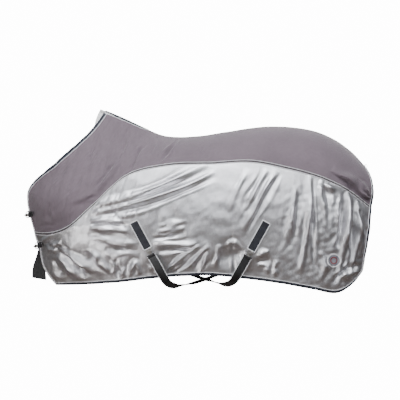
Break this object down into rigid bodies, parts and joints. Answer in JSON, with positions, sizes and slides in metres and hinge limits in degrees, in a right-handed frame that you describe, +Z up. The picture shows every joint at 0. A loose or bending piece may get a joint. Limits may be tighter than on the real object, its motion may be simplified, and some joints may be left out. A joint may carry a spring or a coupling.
{
  "type": "fly sheet",
  "caption": "Lightweight neck-to-tail rug for a horse, with stretch shoulder panels, mesh sides, snap chest closures, crossed belly straps and a tail flap.",
  "frame": {"origin": "inner face of the rug on the spine, at the dip behind the withers, where the rug lies on the horse's back", "axes": "+X towards the tail, +Y towards the horse's right (off) side, +Z up"},
  "size_m": [1.7579, 0.6558, 0.9116],
  "materials": {
    "jersey": "mauve-grey stretch jersey",
    "mesh": "silver-grey fine mesh with a pearly sheen",
    "binding": "dark navy edge binding",
    "piping": "pale twin piping over a dark seam tape",
    "patch": "charcoal-navy webbing patch with a pale edge",
    "fleece": "off-white fleece pile",
    "webbing": "black woven webbing",
    "badge": "plain woven round badge",
    "nickel": "nickel plated"
  },
  "bodies": {
    "rug": {"chest_underlap": "binding", "far_crest_binding": "binding", "far_front_binding": "binding", "far_front_patch": "patch", "far_hem_binding": "binding", "far_neck_binding": "binding", "far_rear_binding": "binding", "far_rear_patch": "patch", "far_seam_piping": "piping", "far_side_panel": "mesh", "far_topline_panel": "jersey", "fleece_lining": "fleece", "front_slot_plate": "nickel", "lower_ring_tab": "webbing", "lower_snap_eye": "nickel", "lower_snap_tab": "webbing", "near_crest_binding": "binding", "near_front_binding": "binding", "near_front_patch": "patch", "near_hem_binding": "binding", "near_neck_binding": "binding", "near_rear_binding": "binding", "near_rear_patch": "patch", "near_seam_piping": "piping", "near_side_panel": "mesh", "near_topline_panel": "jersey", "rear_slot_plate": "nickel", "round_badge": "badge", "spine_seam_tape": "binding", "tail_flap_yoke": "jersey", "tail_loop": "webbing", "upper_ring_tab": "webbing", "upper_snap_eye": "nickel", "upper_snap_tab": "webbing"},
    "tail_flap": {"tail_flap": "mesh", "tail_flap_binding": "binding"},
    "front_strap": {"front_strap": "webbing", "front_strap_hook": "nickel"},
    "rear_strap": {"rear_strap": "webbing", "rear_strap_hook": "nickel"},
    "front_adjuster": {"front_adjuster": "nickel"},
    "rear_adjuster": {"rear_adjuster": "nickel"},
    "upper_snap": {"upper_snap_body": "nickel"},
    "upper_bolt": {"upper_snap_bolt": "nickel"},
    "upper_ring": {"upper_d_ring": "nickel"},
    "lower_snap": {"lower_snap_body": "nickel"},
    "lower_bolt": {"lower_snap_bolt": "nickel"},
    "lower_ring": {"lower_d_ring": "nickel"}
  },
  "joints": [
    {"name": "tail_flap_lift", "type": "hinge", "parent": "rug", "child": "tail_flap", "pos_m": [1.0038, 0, -0.1865], "axis": [0, -1, 0], "range_deg": [0, 80]},
    {"name": "front_surcingle_sway", "type": "hinge", "parent": "rug", "child": "front_strap", "pos_m": [-0.07693, -0.29956, -0.55992], "axis": [0.6303, 0.7763, -0.0114], "range_deg": [-6, 1]},
    {"name": "front_adjuster_slide", "type": "slide", "parent": "front_strap", "child": "front_adjuster", "axis": [0.4815, -0.0611, 0.8743], "range_m": [-0.01, 0.01]},
    {"name": "rear_surcingle_sway", "type": "hinge", "parent": "rug", "child": "rear_strap", "pos_m": [0.42041, -0.31585, -0.56772], "axis": [-0.6201, 0.7846, -0.0016], "range_deg": [-1, 6]},
    {"name": "rear_adjuster_slide", "type": "slide", "parent": "rear_strap", "child": "rear_adjuster", "axis": [-0.4894, -0.0614, 0.8699], "range_m": [-0.01, 0.01]},
    {"name": "upper_snap_swivel", "type": "hinge", "parent": "rug", "child": "upper_snap", "pos_m": [-0.68854, -0.02945, -0.39318], "axis": [-0.4928, 0.8575, -0.1478], "range_deg": [-10, 10]},
    {"name": "upper_bolt_slide", "type": "slide", "parent": "upper_snap", "child": "upper_bolt", "axis": [0.4928, -0.8575, 0.1478], "range_m": [0, 0.007], "stiffness_N_per_m": 150, "springref_m": -0.004},
    {"name": "upper_ring_swing", "type": "hinge", "parent": "rug", "child": "upper_ring", "pos_m": [-0.68672, 0.02658, -0.39342], "axis": [-0.0737, -0.1282, 0.989], "range_deg": [-3, 3]},
    {"name": "lower_snap_swivel", "type": "hinge", "parent": "rug", "child": "lower_snap", "pos_m": [-0.64267, -0.02921, -0.54963], "axis": [-0.4887, 0.8503, -0.1955], "range_deg": [-10, 10]},
    {"name": "lower_bolt_slide", "type": "slide", "parent": "lower_snap", "child": "lower_bolt", "axis": [0.4887, -0.8503, 0.1955], "range_m": [0, 0.007], "stiffness_N_per_m": 150, "springref_m": -0.004},
    {"name": "lower_ring_swing", "type": "hinge", "parent": "rug", "child": "lower_ring", "pos_m": [-0.64085, 0.02636, -0.54994], "axis": [-0.0974, -0.1695, 0.9807], "range_deg": [-3, 3]}
  ]
}
